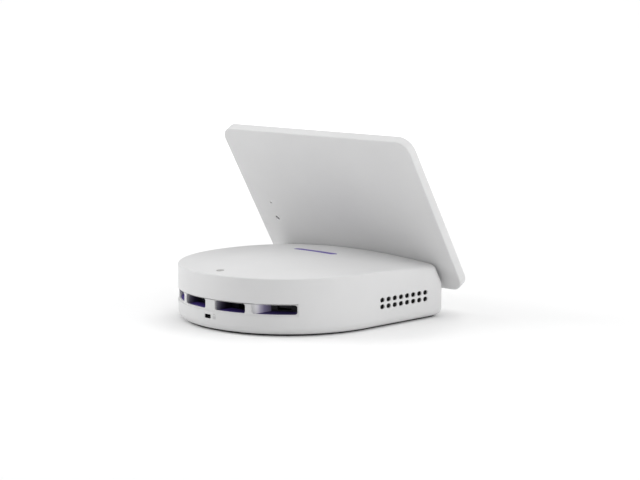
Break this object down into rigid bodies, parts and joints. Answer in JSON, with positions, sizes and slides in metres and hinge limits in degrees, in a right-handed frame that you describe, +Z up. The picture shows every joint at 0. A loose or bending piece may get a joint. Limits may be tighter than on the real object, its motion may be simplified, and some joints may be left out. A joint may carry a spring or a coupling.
{
  "type": "smart home hub",
  "caption": "Table-top smart home hub: a touch display leaning back on a low D-shaped base, with side vents, a light bar, a top button and recessed rear ports.",
  "frame": {"origin": "on the table under the middle of the object, at the bottom of the foot ring", "axes": "+Z up; -Y is the front, where the display faces; +Y is the round rear with the ports; +X is the object's own left as it faces -Y"},
  "size_m": [0.24, 0.2192, 0.1721],
  "materials": {
    "white_shell": "fine matt moulded texture",
    "black_plastic": "satin",
    "foot_rubber": "matt",
    "cone_rubber": "matt",
    "vent_cloth": "fine woven mesh",
    "steel": "zinc-plated sheet",
    "screw_steel": "dark plated",
    "port_metal": "nickel-plated",
    "aluminium": "plain",
    "circuit_board": "solder mask",
    "bay_light": "violet-lit light guide",
    "bar_light": "violet-lit diffuser",
    "button_plastic": "matt",
    "cable_film": "amber polyimide film",
    "diffuser": "matt",
    "display_panel": "dark, switched off",
    "front_glass": "polished",
    "dark_lens": "polished",
    "microphone_brass": "plain"
  },
  "bodies": {
    "hub": {"antenna_left": "circuit_board", "antenna_right": "circuit_board", "ballast_plate": "steel", "base_cover": "black_plastic", "base_housing": "white_shell", "bay_light_guide": "bay_light", "board_screw_1": "screw_steel", "board_screw_2": "screw_steel", "board_screw_3": "screw_steel", "board_screw_4": "screw_steel", "bracket_screw_1": "screw_steel", "bracket_screw_2": "screw_steel", "bracket_screw_3": "screw_steel", "bracket_screw_4": "screw_steel", "button_board": "circuit_board", "button_switch": "black_plastic", "cover_screw_1": "screw_steel", "cover_screw_2": "screw_steel", "cover_screw_3": "screw_steel", "cover_screw_4": "screw_steel", "cover_screw_5": "screw_steel", "cover_screw_6": "screw_steel", "display_back_cover": "white_shell", "display_backlight": "diffuser", "display_bracket": "steel", "display_cable": "cable_film", "display_driver_board": "circuit_board", "display_frame": "aluminium", "display_panel": "display_panel", "foot_ring": "foot_rubber", "heat_sink": "aluminium", "infrared_window": "dark_lens", "inner_port_panel": "black_plastic", "light_bar_board": "circuit_board", "light_bar_lens": "bar_light", "lock_plate": "steel", "main_board": "circuit_board", "network_port": "port_metal", "outer_port_panel_left": "black_plastic", "outer_port_panel_right": "black_plastic", "port_bay": "white_shell", "port_bezel": "white_shell", "power_inlet": "port_metal", "processor": "black_plastic", "radio_module": "steel", "rear_microphone": "microphone_brass", "shield_can": "steel", "speaker_box_left": "black_plastic", "speaker_box_right": "black_plastic", "speaker_driver_left": "steel", "speaker_driver_right": "steel", "touch_glass": "front_glass", "usb_port_inner": "port_metal", "usb_port_outer": "port_metal", "vent_cloth_left": "vent_cloth", "vent_cloth_right": "vent_cloth", "video_port": "port_metal"},
    "button": {"power_button": "button_plastic"},
    "cone_left": {"speaker_cone_left": "cone_rubber"},
    "cone_right": {"speaker_cone_right": "cone_rubber"}
  },
  "joints": [
    {"name": "button_press", "type": "slide", "parent": "hub", "child": "button", "axis": [0, 0, 1], "range_m": [-0.0005, 0], "stiffness_N_per_m": 600, "springref_m": 0.0006},
    {"name": "cone_left_travel", "type": "slide", "parent": "hub", "child": "cone_left", "axis": [1, 0, 0], "range_m": [-0.0006, 0.0006], "stiffness_N_per_m": 1500},
    {"name": "cone_right_travel", "type": "slide", "parent": "hub", "child": "cone_right", "axis": [-1, 0, 0], "range_m": [-0.0006, 0.0006], "stiffness_N_per_m": 1500}
  ]
}
